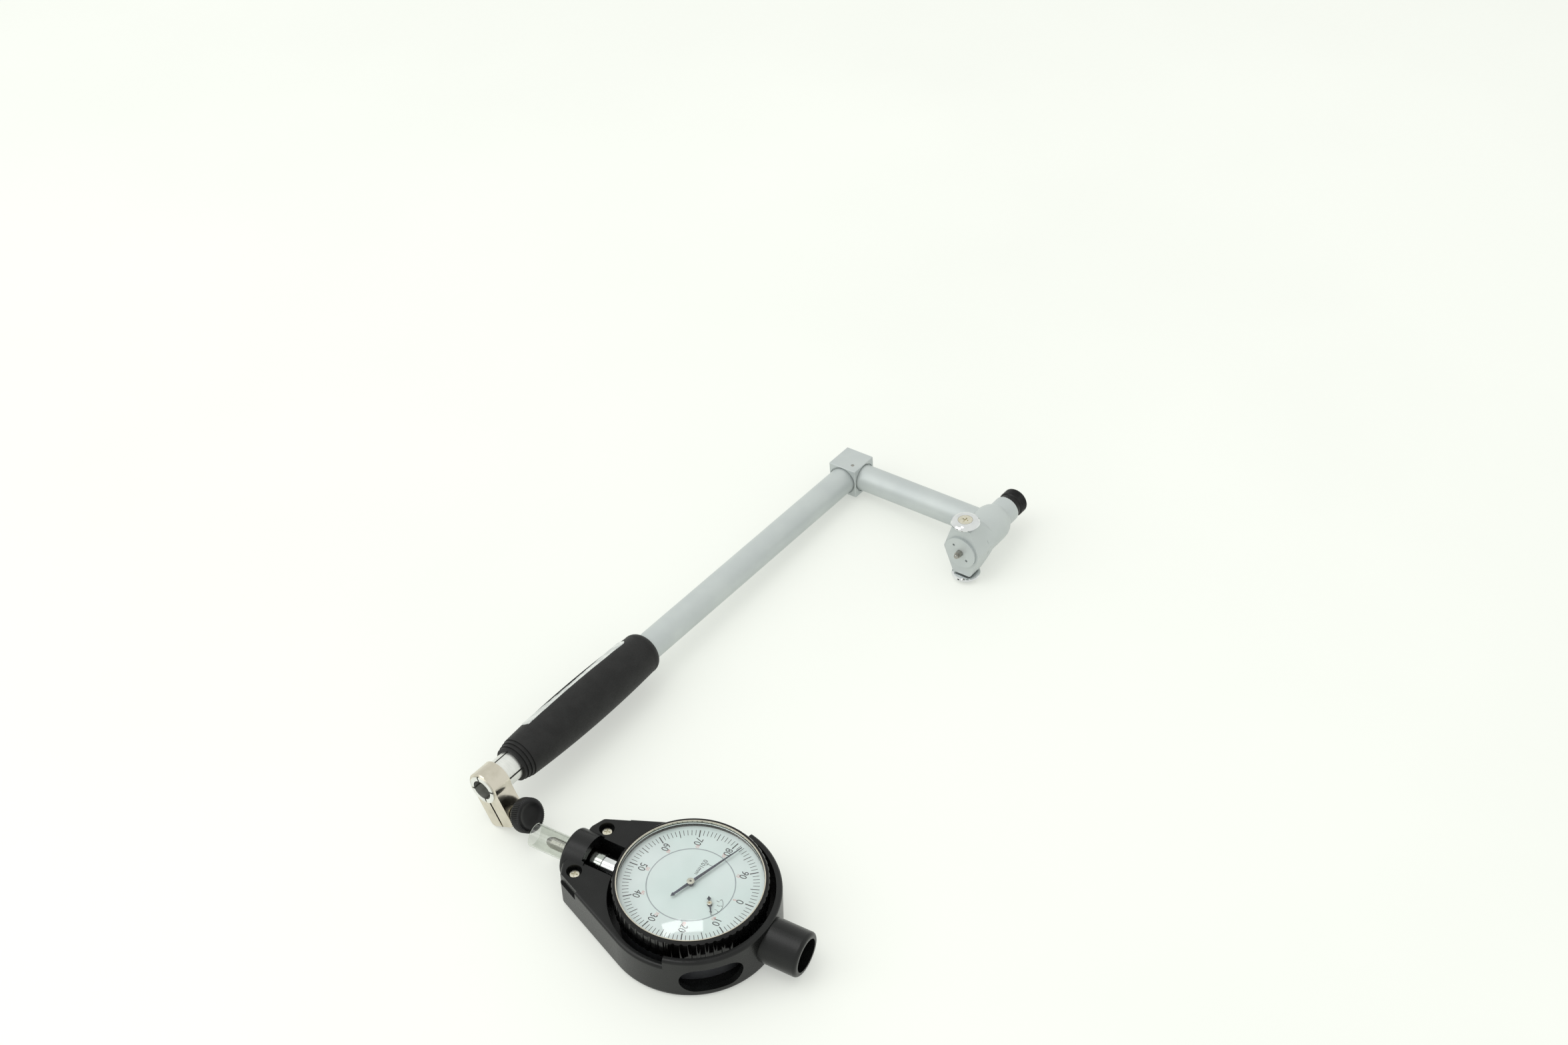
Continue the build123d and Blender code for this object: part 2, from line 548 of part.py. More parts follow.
rack_gear = gear(RACK_TEETH, RACK_GEAR_R, 2.0, -90 + 180 / RACK_TEETH, ARBOR_R)
centre_tooth = toward((0, 0), RACK_ARBOR)
centre_gear = gear(CENTRE_TEETH, CENTRE_PITCH_R, 2.0, centre_tooth, 0.2)
rack_wheel = gear(WHEEL_TEETH, WHEEL_PITCH_R, 0.5,
                  meshing_tooth(toward((0, 0), RACK_ARBOR), centre_tooth, CENTRE_TEETH, WHEEL_TEETH), ARBOR_R)
take_up = gear(WHEEL_TEETH, WHEEL_PITCH_R, 0.5,
               meshing_tooth(toward((0, 0), COUNTER), centre_tooth, CENTRE_TEETH, WHEEL_TEETH), ARBOR_R)


def pointer(length, tail, wide, hub, hub_height):
    """Flat tapering hand along +X with a spade tail and a raised hub."""
    half = [(length, 0.12), (0, wide), (1.6 - tail, 0.35), (1.2 - tail, 0.7), (-tail, 0)]
    outline = half + [(x, -y) for x, y in reversed(half[:-1])]
    body = extrude(Polygon(*outline, align=None), 0.25)
    return body + Pos(0, 0, -0.3) * Cylinder(hub, hub_height, align=BASE) - Cylinder(ARBOR_R, 4)


nodes["spindle"] = spindle()
nodes["spindle_spring"] = spindle_spring()
tip_profile = [(0, 0), (0.9, 0.15), (1.55, 0.8), (1.95, 1.9), (2.1, 2.4), (2.1, 5.95), (0, 5.95)]
nodes["contact_point"] = turned(tip_profile, (SPINDLE_TIP, 0, AXIS_Z), (1, 0, 0))
nodes["rack_pinion"] = (on_arbor(RACK_ARBOR, AXIS_Z - 1.0, rack_gear)
                        + post(ARBOR_R, RACK_ARBOR, 3.5, PLATE_HIGH + PLATE_THICK))
nodes["rack_wheel"] = on_arbor(RACK_ARBOR, WHEEL_LEVEL, rack_wheel)
nodes["centre_pinion"] = on_arbor((0, 0), 13.4, centre_gear) + post(ARBOR_R, (0, 0), PLATE_LOW, 22.2)
nodes["take_up_wheel"] = on_arbor(COUNTER, WHEEL_LEVEL, take_up) + post(ARBOR_R, COUNTER, PLATE_LOW, 21.6)
nodes["main_pointer"] = (Pos(0, 0, DIAL_Z + 1.1) * Rot(0, 0, DIAL_TURN - READING * 3.6)
                         * pointer(22.8, 8.8, 0.55, 1.25, 1.2))
nodes["counter_hand"] = Pos(*COUNTER, DIAL_Z + 0.7) * Rot(0, 0, -54) * pointer(4.4, 3.0, 0.35, 0.85, 0.6)

# ---- indicator: bezel and crystal ---------------------------------------------------------------
FLUTES = 60


def bezel():
    profile = [(BEZEL_BORE, 0), (BEZEL_R, 0), (BEZEL_R, 7.9), (BEZEL_R - 0.5, 8.5), (RING_R, 8.5),
               (RING_R, 7.8), (FACE_R, 7.8), (FACE_R, 4.8), (BEZEL_BORE, 4.8)]
    body = turned(profile, (0, 0, 15.4), (0, 0, 1))
    groove = post(1.0, (BEZEL_R + 0.72, 0), 15, 24)
    return body - [Rot(0, 0, 360 / FLUTES * index) * groove for index in range(FLUTES)]


def crystal():
    """Thin dome; both faces are parts of spheres."""
    rim, crown, thick = 25.6, 1.7, 1.0
    sphere = (rim ** 2 + crown ** 2) / (2 * crown)
    top = 23.2
    dome = Pos(0, 0, top + crown - sphere) * (Sphere(sphere) - Sphere(sphere - thick))
    return dome & post(CRYSTAL_R, (0, 0), top - 1, 30)


nodes["bezel"] = bezel()
nodes["bezel_ring"] = tube(RING_R - 0.02, FACE_R, (0, 0, 23.3), (0, 0, 24.1))
nodes["crystal"] = crystal()
nodes["dial_ring"] = tube(FACE_R - 0.02, DIAL_SPLIT + 0.15, (0, 0, DIAL_Z - 0.5), (0, 0, DIAL_Z))
nodes["clear_sleeve"] = tube(SLEEVE_R, SLEEVE_BORE, (SLEEVE_MOUTH, 0, AXIS_Z), (-36.0, 0, AXIS_Z))

# ---- placing and writing ------------------------------------------------------------------------
to_row = Pos(-ORIGIN[0], -ORIGIN[1], -ORIGIN[2])
GAUGE = to_row * Pos(0, 0, ELBOW_HEIGHT) * Rot(0, 0, -90) * Rot(TUBE_LEAN, 0, 0) * Rot(0, ARM_LEAN, 0)
INDICATOR = to_row * Pos(*DIAL_PLACE) * Rot(0, 0, DIAL_HEADING)


def main():
    os.makedirs("parts", exist_ok=True)
    for name, shape in nodes.items():
        place = GAUGE if name in GAUGE_NODES else INDICATOR
        export_step(place * shape, f"parts/{name}.step")


if __name__ == "__main__":
    main()
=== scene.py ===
# %% [markdown]
# A right-angle bore gauge and its dial indicator, which lies beside it in a black guard.
# The exact shapes come from a finished engineering model, which is loaded as a fixed frame.
# This lesson adds what such a model lacks: knurling, printing on the dial, and finishes that
# look like paint, plating, rubber and moulded plastic. Each step says what the real piece is,
# how it could be made in Blender, and why this way was chosen.

import bpy
import bmesh
import json
from math import atan2, cos, hypot, pi, radians, sin
from mathutils import Matrix, Vector


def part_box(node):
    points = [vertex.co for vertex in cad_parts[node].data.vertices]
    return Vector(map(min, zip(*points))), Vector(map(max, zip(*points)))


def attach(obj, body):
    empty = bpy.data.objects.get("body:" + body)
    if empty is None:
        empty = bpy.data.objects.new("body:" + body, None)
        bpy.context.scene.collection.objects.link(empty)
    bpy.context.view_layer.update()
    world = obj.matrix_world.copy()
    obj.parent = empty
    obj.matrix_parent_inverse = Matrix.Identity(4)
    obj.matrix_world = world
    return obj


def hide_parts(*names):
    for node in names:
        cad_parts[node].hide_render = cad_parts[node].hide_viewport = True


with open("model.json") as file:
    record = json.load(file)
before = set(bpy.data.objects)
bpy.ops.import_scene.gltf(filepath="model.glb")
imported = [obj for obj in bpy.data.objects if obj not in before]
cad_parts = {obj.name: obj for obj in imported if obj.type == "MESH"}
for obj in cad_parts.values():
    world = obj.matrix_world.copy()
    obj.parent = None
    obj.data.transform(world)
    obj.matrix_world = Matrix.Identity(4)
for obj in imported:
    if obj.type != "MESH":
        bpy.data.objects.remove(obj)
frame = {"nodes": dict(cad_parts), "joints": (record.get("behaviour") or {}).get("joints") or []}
scene = bpy.context.scene
nodes = frame["nodes"]
joints = {joint["name"]: joint for joint in frame["joints"]}
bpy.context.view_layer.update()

# %% [markdown]
# The gauge and the indicator each lie at an angle on the table, so it is easier to model in a
# workbench frame of each one, in millimetres, and place the result with one matrix. The joints
# of the frame already hold the directions that matter: the rods slide along the two tubes, and
# the spindle slides along the indicator. Reading them keeps every new piece exact.

# %% Workbench frames, in millimetres
MM = 0.001


def workbench(origin, x_axis, y_axis, z_axis):
    """Matrix from millimetres on a workbench to metres in the row frame."""
    turn = Matrix((x_axis, y_axis, z_axis)).transposed().to_4x4()
    return Matrix.Translation(origin) @ turn @ Matrix.Scale(MM, 4)


def axis_of(joint):
    return Vector(joints[joint]["axis"]).normalized()


def point_of(joint):
    return Vector(joints[joint]["pos_m"])


tube_axis, arm_axis = -axis_of("main_rod_slide"), -axis_of("arm_rod_slide")
up_axis = axis_of("elbow_crank_turn")
HEAD = workbench(point_of("lock_nut_turn"), arm_axis, tube_axis, up_axis)
KNOB = workbench(point_of("clamp_knob_turn"), tube_axis.cross(axis_of("clamp_knob_turn")),
                 tube_axis, axis_of("clamp_knob_turn"))

spindle_axis = axis_of("spindle_slide")
low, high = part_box("dial_ring")
dial_centre = Vector(((low.x + high.x) / 2, (low.y + high.y) / 2, 0))
straight_up = Vector((0, 0, 1))
INDICATOR = workbench(dial_centre, spindle_axis, straight_up.cross(spindle_axis), straight_up)
DIAL_TOP = high.z / MM
print("dial centre at", [round(value, 4) for value in dial_centre],
      "top of the dial at", round(DIAL_TOP, 2), "mm")

# %% [markdown]
# The camera stands back from the tools and about sixty centimetres above the table, looking
# down at them at about 43 degrees. It is placed by a position, a heading, a pitch and a slight
# roll, as a tripod head is, because those are easier to read than a matrix.

# %% Camera
STAND = (-0.4443, -0.3347, 0.6139)              # metres
PITCH, HEADING, ROLL = 42.82, 37.876, 1.157     # degrees
camera_data = bpy.data.cameras.new("camera")
camera_data.lens = 49.31
camera_data.sensor_width = 36.0
camera_data.clip_start, camera_data.clip_end = 0.01, 20.0
camera = bpy.data.objects.new("camera", camera_data)
camera.matrix_world = (Matrix.Translation(STAND)
                       @ Matrix.Rotation(radians(HEADING - 90), 4, "Z")
                       @ Matrix.Rotation(radians(90 - PITCH), 4, "X")
                       @ Matrix.Rotation(radians(-ROLL), 4, "Z"))
scene.collection.objects.link(camera)
scene.camera = camera

# %% [markdown]
# Product shots like this one are taken in a light tent: white cloth on all sides, and lamps
# behind it. The world stands for the cloth. Two large overhead panels give the metals something
# bright to reflect, and a pair of small ones makes the window-like shine on the dial's crystal.
# The table comes last; it is pale and lit softly from below, which washes out most shadows.

# %% Light tent
TENT_WHITE, TENT_STRENGTH = (0.985, 1.0, 0.965, 1), 0.93
scene.view_settings.view_transform = "Standard"
world = bpy.data.worlds.new("light tent")
scene.world = world
world.use_nodes = True
cloth = world.node_tree.nodes["Background"]
cloth.inputs["Color"].default_value = TENT_WHITE
cloth.inputs["Strength"].default_value = TENT_STRENGTH


def lamp(name, place, target, size, watts):
    """A rectangular panel that shines at a point."""
    data = bpy.data.lights.new(name, "AREA")
    data.shape = "RECTANGLE"
    data.size, data.size_y = size
    data.energy = watts
    panel = bpy.data.objects.new(name, data)
    aim = (Vector(target) - Vector(place)).to_track_quat("-Z", "Y")
    panel.matrix_world = Matrix.Translation(place) @ aim.to_matrix().to_4x4()
    scene.collection.objects.link(panel)


lamp("overhead panel", (-0.30, 0.25, 1.20), (0, 0, 0), (0.8, 0.6), 2.6)
lamp("left panel", (-0.75, 0.65, 0.75), (0, 0, 0), (0.7, 0.7), 2.2)
window_middle, half_apart = Vector((0.169, 0.278, 0.927)), Vector((0.024, -0.031, 0))
crystal_point = (-0.12, -0.04, 0.02)
for side in (-1, 1):
    lamp("window lamp", window_middle + half_apart * side, crystal_point, (0.075, 0.055), 0.045)

# %% [markdown]
# Materials are node networks. A paint chart is written in sRGB hex values, while the shader
# wants linear light, so one function converts them. One more function adds a node with its
# settings and links; everything else is said by the network itself.

# %% Colour and node helpers
TONE_STOPS = (0.38, 0.62)      # noise values where the two tones of a surface begin to blend
GRAIN_SPAN = (0.3, 0.7)        # noise values that stand for the smoothest and roughest grain


def linear(code):
    """sRGB hex code to a linear colour with alpha."""
    channels = [int(code[i:i + 2], 16) / 255 for i in (1, 3, 5)]
    return (*[c / 12.92 if c <= 0.04045 else ((c + 0.055) / 1.055) ** 2.4 for c in channels], 1.0)


def add(tree, kind, inputs=None, **settings):
    """One node with its settings; an input that is a socket is linked, any other is a value."""
    node = tree.nodes.new("ShaderNode" + kind)
    for name, value in settings.items():
        setattr(node, name, value)
    for name, value in (inputs or {}).items():
        if isinstance(value, bpy.types.NodeSocket):
            tree.links.new(value, node.inputs[name])
        else:
            node.inputs[name].default_value = value
    return node


def surface(name, colours, patch_mm, rough, grain_mm, relief_mm, stretch=(1, 1, 1), **shader):
    """A material whose colour drifts between two tones over patches, and whose roughness and
    relief follow a finer grain. Sizes are real ones, in millimetres."""
    material = bpy.data.materials.new(name)
    material.use_nodes = True
    tree = material.node_tree
    principled = tree.nodes["Principled BSDF"]
    where = add(tree, "TexCoord").outputs["Object"]
    spread = add(tree, "Mapping", {"Vector": where, "Scale": stretch}).outputs["Vector"]
    patches = add(tree, "TexNoise", {"Vector": spread, "Scale": 1000 / patch_mm, "Detail": 4.0})
    tone = add(tree, "ValToRGB", {"Fac": patches.outputs["Fac"]})
    for stop, code, place in zip(tone.color_ramp.elements, colours, TONE_STOPS):
        stop.color, stop.position = linear(code), place
    grain = add(tree, "TexNoise", {"Vector": spread, "Scale": 1000 / grain_mm, "Detail": 3.0})
    gloss = add(tree, "MapRange", {"Value": grain.outputs["Fac"],
                                   "From Min": GRAIN_SPAN[0], "From Max": GRAIN_SPAN[1],
                                   "To Min": rough[0], "To Max": rough[1]})
    relief = add(tree, "Bump", {"Height": grain.outputs["Fac"], "Distance": relief_mm * MM,
                                "Strength": 0.6})
    tree.links.new(tone.outputs["Color"], principled.inputs["Base Color"])
    tree.links.new(gloss.outputs["Result"], principled.inputs["Roughness"])
    tree.links.new(relief.outputs["Normal"], principled.inputs["Normal"])
    for socket, value in shader.items():
        principled.inputs[socket.replace("_", " ")].default_value = value
    return material


def dress(material, *names):
    """Puts a material on nodes of the frame."""
    for name in names:
        mesh = nodes[name].data
        mesh.materials.clear()
        mesh.materials.append(material)


# %% [markdown]
# The elbow, both tubes and the measuring head wear a silver-grey stove enamel: paint with fine
# aluminium flake, sprayed and baked. The flake makes it about a third metallic, with soft, wide
# highlights, and the spray leaves a faint orange peel about half a millimetre across.

# %% Silver-grey stove enamel
silver_enamel = surface("silver-grey stove enamel", ("#B9BFBF", "#BFC5C4"), 14, (0.40, 0.50),
                        0.45, 0.012, Metallic=0.35, IOR=1.5)
dress(silver_enamel, "elbow_block", "tube_collar", "main_tube", "arm_tube", "head_body",
      "contact_guide")

# %% [markdown]
# The split clamp is nickel plated: warmer than chrome, and polished before plating. The collet
# inside it is bare aluminium, turned on a lathe, so its tool marks run around it; the noise is
# squeezed along the tube to draw them. The bezel's inner ring is nickel plated too. The wheels
# and the stem are chrome plated, the hardest and coldest mirror of the three.

# %% Plated and bare metals
nickel = surface("polished nickel plate", ("#C9C3B4", "#D6D0C2"), 6, (0.12, 0.20), 0.8, 0.004,
                 Metallic=1.0)
turned_aluminium = surface("turned aluminium", ("#DFE0DC", "#E8E9E5"), 3, (0.30, 0.42), 0.5, 0.006,
                           stretch=(6, 1, 1), Metallic=1.0)
chrome = surface("chrome plate", ("#DADCDD", "#E4E6E7"), 5, (0.04, 0.09), 1.0, 0.001, Metallic=1.0)
ground_steel = surface("ground steel", ("#9C9A94", "#A9A7A1"), 1.5, (0.22, 0.34), 0.25, 0.004,
                       Metallic=1.0)
spring_steel = surface("drawn spring steel", ("#77797C", "#8A8C8F"), 1.0, (0.25, 0.35), 0.2, 0.002,
                       Metallic=1.0)
turned_brass = surface("turned brass", ("#B8964F", "#C7A762"), 2.0, (0.22, 0.34), 0.3, 0.004,
                       Metallic=1.0)
pale_brass = surface("nickelled brass screw", ("#D3CEBB", "#DDD9CA"), 1.2, (0.20, 0.30), 0.3, 0.004,
                     Metallic=1.0)
foil = surface("crinkled silver foil", ("#C6C9CA", "#E6E8E8"), 3.5, (0.15, 0.35), 2.2, 0.35,
               Metallic=1.0)
dress(nickel, "clamp_ring", "bezel_ring")
dress(turned_aluminium, "collet")
dress(chrome, "upper_guide_wheel", "lower_guide_wheel", "stem")
dress(pale_brass, "wheel_screws", "guard_screws")
dress(foil, "grip_plate")
dress(turned_brass, "main_rod_guides", "arm_rod_guides", "movement_lower_plate",
      "movement_upper_plate", "movement_pillars", "dial_studs", "rack_wheel", "take_up_wheel")
dress(spring_steel, "rod_return_spring", "spindle_spring", "hairspring")
dress(ground_steel, "elbow_pivot_pin", "head_pivot_pin", "elbow_bell_crank", "head_bell_crank",
      "main_push_rod", "arm_push_rod", "contact_plunger", "contact_tip", "spindle",
      "contact_point", "rack_pinion", "centre_pinion")

# %% [markdown]
# Three black plastics look quite different. The grip is a matt moulding that is dusty to the
# eye, with a fine leathery grain. The guard is satin ABS from a spark-eroded mould, so it
# glosses softly at the edges. The bezel is polished and mirrors the white tent in its flutes.

# %% Black mouldings
grip_moulding = surface("matt grip moulding", ("#101010", "#181818"), 5, (0.50, 0.66), 0.5, 0.05,
                        IOR=1.5, Specular_IOR_Level=0.35)
satin_abs = surface("satin ABS", ("#0B0C0C", "#121313"), 8, (0.24, 0.34), 0.35, 0.012,
                    IOR=1.54, Specular_IOR_Level=0.28)
polished_abs = surface("polished ABS", ("#040404", "#080808"), 8, (0.10, 0.16), 0.8, 0.003,
                       IOR=1.54, Specular_IOR_Level=0.3)
dark_enamel = surface("dark case enamel", ("#3C3D40", "#46474A"), 6, (0.30, 0.42), 0.4, 0.006,
                      Metallic=0.2)
dress(grip_moulding, "grip")
dress(satin_abs, "guard_front_shell", "guard_rear_shell")
dress(polished_abs, "bezel")
dress(dark_enamel, "indicator_case", "case_back", "spindle_cap")

# %% [markdown]
# The dial is sheet metal with a cool white lacquer. Its pointer is steel that was blued in a
# flame. The crystal is clear acrylic: all light goes through, bent by an index of 1.49. The
# loose sleeve is a softer, slightly grey plastic with an index of 1.46. Clear pieces cast no
# shadow here, so the lamps reach the dial beneath them without the speckle of caustics.

# %% Dial, pointer and clear plastic
dial_lacquer = surface("cool white dial lacquer", ("#CDD8D6", "#D2DDDB"), 12, (0.36, 0.44), 0.6,
                       0.002, IOR=1.5)
blued_steel = surface("blued steel", ("#2B2C3A", "#35364A"), 3, (0.25, 0.35), 0.3, 0.002,
                      Metallic=0.4)
clear_acrylic = surface("clear acrylic", ("#FAFDFC", "#FFFFFF"), 20, (0.015, 0.03), 4.0, 0.001,
                        IOR=1.49, Transmission_Weight=1.0)
sleeve_plastic = surface("clear sleeve plastic", ("#DFE2DD", "#E8EBE6"), 6, (0.03, 0.10), 2.0,
                         0.006, IOR=1.46, Transmission_Weight=1.0)
dress(dial_lacquer, "dial_ring", "dial_centre")
dress(blued_steel, "main_pointer", "counter_hand")
dress(clear_acrylic, "crystal")
dress(sleeve_plastic, "clear_sleeve")
for name in ("crystal", "clear_sleeve"):
    nodes[name].visible_shadow = False

# %% [markdown]
# New pieces are drawn on a workbench and end as a mesh in the row frame. Faces that meet at
# less than thirty degrees are shaded as one smooth skin, and sharper corners stay crisp.

# %% From a shape to a piece
SMOOTH_BELOW = radians(30)
MERGE = 0.0005                 # millimetres
made = []


def finish_piece(name, shape, bench, material, body):
    """Places a shape, turns it into an object and hands it to a body of the frame."""
    bmesh.ops.transform(shape, matrix=bench, verts=shape.verts)
    mesh = bpy.data.meshes.new(name)
    shape.to_mesh(mesh)
    shape.free()
    mesh.materials.append(material)
    mesh.polygons.foreach_set("use_smooth", [True] * len(mesh.polygons))
    mesh.set_sharp_from_angle(angle=SMOOTH_BELOW)
    piece = bpy.data.objects.new(name, mesh)
    scene.collection.objects.link(piece)
    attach(piece, body)
    made.append(piece)
    print(name, len(mesh.polygons), "faces")
    return piece


def spun(profile, steps):
    """A solid turned about Z, as on a lathe; the profile holds (radius, height) points."""
    shape = bmesh.new()
    points = [shape.verts.new((radius, 0, height)) for radius, height in profile]
    edges = [shape.edges.new(pair) for pair in zip(points, points[1:])]
    bmesh.ops.spin(shape, geom=points + edges, cent=(0, 0, 0), axis=(0, 0, 1), angle=2 * pi,
                   steps=steps, use_merge=True)
    bmesh.ops.remove_doubles(shape, verts=shape.verts, dist=MERGE)
    bmesh.ops.recalc_face_normals(shape, faces=shape.faces)
    return shape


# %% [markdown]
# The clamp's thumb screw has a black moulded knob with straight ribs and a dished face. Its
# body is a lathe profile. For the ribs, every second column of points on the rim is pulled in:
# with twice as many columns as ribs that gives clean V grooves, which a texture could not show
# in outline.

# %% Thumb screw
RIBS, RIB_DEPTH, KNOB_R = 54, 0.34, 6.5
RIM_BAND = 0.35                # the ribs start this far inside the rim
knob_profile = [(1.4, 0.1), (5.7, 0.1), (6.2, 0.35), (KNOB_R, 0.7), (KNOB_R, 2.4), (KNOB_R, 4.1),
                (6.2, 4.5), (5.7, 4.72), (4.9, 4.8), (4.6, 4.72), (4.2, 4.45), (3.2, 4.3),
                (1.6, 4.22), (0, 4.2)]
knob_shape = spun(knob_profile, 2 * RIBS)
for vertex in knob_shape.verts:
    radius = hypot(vertex.co.x, vertex.co.y)
    column = round(atan2(vertex.co.y, vertex.co.x) / (pi / RIBS))
    if radius > KNOB_R - RIM_BAND and column % 2:
        vertex.co.xy *= (radius - RIB_DEPTH) / radius
black_moulding = surface("black knob moulding", ("#0A0A0B", "#111112"), 3, (0.34, 0.46), 0.3,
                         0.02, IOR=1.5, Specular_IOR_Level=0.35)
thumb_knob = finish_piece("thumb_knob", knob_shape, KNOB, black_moulding, "clamp_knob")
SHANK_END, SHANK_R, COLLAR_END, COLLAR_R = -16.1, 1.5, -3.5, 3.4
shank_profile = [(0, SHANK_END), (SHANK_R - 0.3, SHANK_END), (SHANK_R, SHANK_END + 0.3),
                 (SHANK_R, COLLAR_END), (COLLAR_R - 0.2, COLLAR_END), (COLLAR_R, COLLAR_END + 0.2),
                 (COLLAR_R, 0.1), (0, 0.1)]
finish_piece("thumb_screw_shank", spun(shank_profile, 48), KNOB, ground_steel, "clamp_knob")
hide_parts("clamp_screw")

# %% [markdown]
# The anvil's lock nut is steel with a black oxide skin and a diamond knurl. A knurl is two sets
# of spiral grooves that cross. Here the rim starts as a grid of squares. Poking each square
# puts a point in its middle; taking the old grid lines away leaves squares that stand on a
# corner; and poking those outwards raises the little pyramids.

# %% Knurled lock nut
NUT_COLUMNS, NUT_ROWS, NUT_R = 52, 6, 5.45
KNURL_LOW, KNURL_HIGH, KNURL_HEIGHT = 2.9, 6.7, 0.22
NUT_BACK = 4.1                 # from the joint's point back to the open end of the nut
knurl_row = (KNURL_HIGH - KNURL_LOW) / NUT_ROWS
rim = [(NUT_R, KNURL_LOW + knurl_row * row) for row in range(NUT_ROWS + 1)]
nut_profile = [(2.75, 5.0), (4.3, 5.0), (4.3, 0.0), (4.9, 0.0), (5.0, 0.1), (5.0, 2.5),
               (5.2, 2.65), *rim, (5.1, 7.1), (4.9, 7.15), (2.85, 7.15), (2.75, 7.05), (2.75, 5.0)]
nut_shape = spun(nut_profile, NUT_COLUMNS)


def on_rim(face, slack):
    return all(hypot(v.co.x, v.co.y) > NUT_R - slack for v in face.verts)


rim_faces = [face for face in nut_shape.faces if on_rim(face, 0.05)]
grid_lines = [edge for edge in nut_shape.edges
              if all(face in rim_faces for face in edge.link_faces)]
bmesh.ops.poke(nut_shape, faces=rim_faces)
bmesh.ops.dissolve_edges(nut_shape, edges=grid_lines)
diamonds = [face for face in nut_shape.faces if on_rim(face, 0.08) and len(face.verts) == 4]
bmesh.ops.poke(nut_shape, faces=diamonds, offset=KNURL_HEIGHT)
black_oxide = surface("black oxide steel", ("#131313", "#1C1C1D"), 2, (0.28, 0.40), 0.3, 0.004,
                      Metallic=0.5)
nut_bench = HEAD @ Matrix.Translation((0, -NUT_BACK, 0)) @ Matrix.Rotation(radians(-90), 4, "X")
lock_nut = finish_piece("knurled_lock_nut", nut_shape, nut_bench, black_oxide, "lock_nut")
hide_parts("anvil_lock_nut")

# %% [markdown]
# The dial is printed in two inks: black for the divisions and the main figures, and a pale red
# for the small figures that count the other way. Ink could be a texture, but flat thin pieces
# stay sharp at any distance. The ring of the dial turns with the bezel, so its printing rides
# on the bezel, and the figures in the middle ride on the indicator.

# %% Divisions of the dial
INK = DIAL_TOP + 0.012         # the ink stands just proud of the lacquer
INK_DEPTH = 0.016
DIVISIONS, RING_TURN = 100, 4.5    # the ring was last set a little off the spindle's axis
OUTER = 23.7                   # radius where every division ends
black_ink = surface("black dial ink", ("#0C0D10", "#121417"), 3, (0.45, 0.55), 0.4, 0.001, IOR=1.5)
red_ink = surface("faded red dial ink", ("#C98F8A", "#CE9A95"), 3, (0.45, 0.55), 0.4, 0.001,
                  IOR=1.5)


def heading(reading):
    """Direction of a reading on the dial; readings grow clockwise."""
    return radians(RING_TURN - reading * 360 / DIVISIONS)


def bar(target, place, length, width):
    """Adds a straight stroke of ink, centred on a place, to a shape."""
    size = Matrix.Diagonal((length, width, INK_DEPTH, 1))
    bmesh.ops.create_cube(target, size=1, matrix=place @ size)


PLAIN, FIFTH, TENTH = (2.3, 0.21), (3.1, 0.27), (3.1, 0.4)     # length and width of a division
ring_print = bmesh.new()
for division in range(DIVISIONS):
    length, width = PLAIN if division % 5 else FIFTH if division % 10 else TENTH
    turned = Matrix.Rotation(heading(division), 4, "Z")
    bar(ring_print, turned @ Matrix.Translation((OUTER - length / 2, 0, INK)), length, width)

# %% [markdown]
# Blender's own text objects give the figures. Each is made a mesh, scaled to a real height,
# and set upright for someone who holds the stem at the bottom, whatever its place on the ring.

# %% Figures


def figure(target, words, height, x, y, turn, width=1.0):
    """Adds lettering of a real height, centred on a point of the dial, to a shape."""
    curve = bpy.data.curves.new("figure", "FONT")
    curve.body = words
    curve.extrude = 0.01
    curve.resolution_u = 4
    holder = bpy.data.objects.new("figure", curve)
    scene.collection.objects.link(holder)
    bpy.context.view_layer.update()
    evaluated = holder.evaluated_get(bpy.context.evaluated_depsgraph_get())
    mesh = bpy.data.meshes.new_from_object(evaluated)
    bpy.data.objects.remove(holder)
    spots = [vertex.co for vertex in mesh.vertices]
    left, right = min(p.x for p in spots), max(p.x for p in spots)
    bottom, top = min(p.y for p in spots), max(p.y for p in spots)
    scale = height / (top - bottom)
    centring = Matrix.Translation((-(left + right) / 2, -(bottom + top) / 2, 0))
    mesh.transform(Matrix.Translation((x, y, INK)) @ Matrix.Rotation(turn, 4, "Z")
                   @ Matrix.Diagonal((scale * width, scale, 1, 1)) @ centring)
    target.from_mesh(mesh)
    bpy.data.meshes.remove(mesh)


BLACK_R, BLACK_HEIGHT = 18.6, 2.7
RED_R, RED_HEIGHT = 16.6, 1.25
upright = radians(RING_TURN - 90)
red_print = bmesh.new()
for reading in range(0, DIVISIONS, 10):
    across, along = cos(heading(reading)), sin(heading(reading))
    figure(ring_print, str(reading), BLACK_HEIGHT, BLACK_R * across, BLACK_R * along, upright, 0.86)
    back = (DIVISIONS - reading) % DIVISIONS
    figure(red_print, str(back), RED_HEIGHT, RED_R * across, RED_R * along, upright, 0.9)
finish_piece("dial_ring_print", ring_print, INDICATOR, black_ink, "bezel")
finish_piece("dial_ring_red_print", red_print, INDICATOR, red_ink, "bezel")

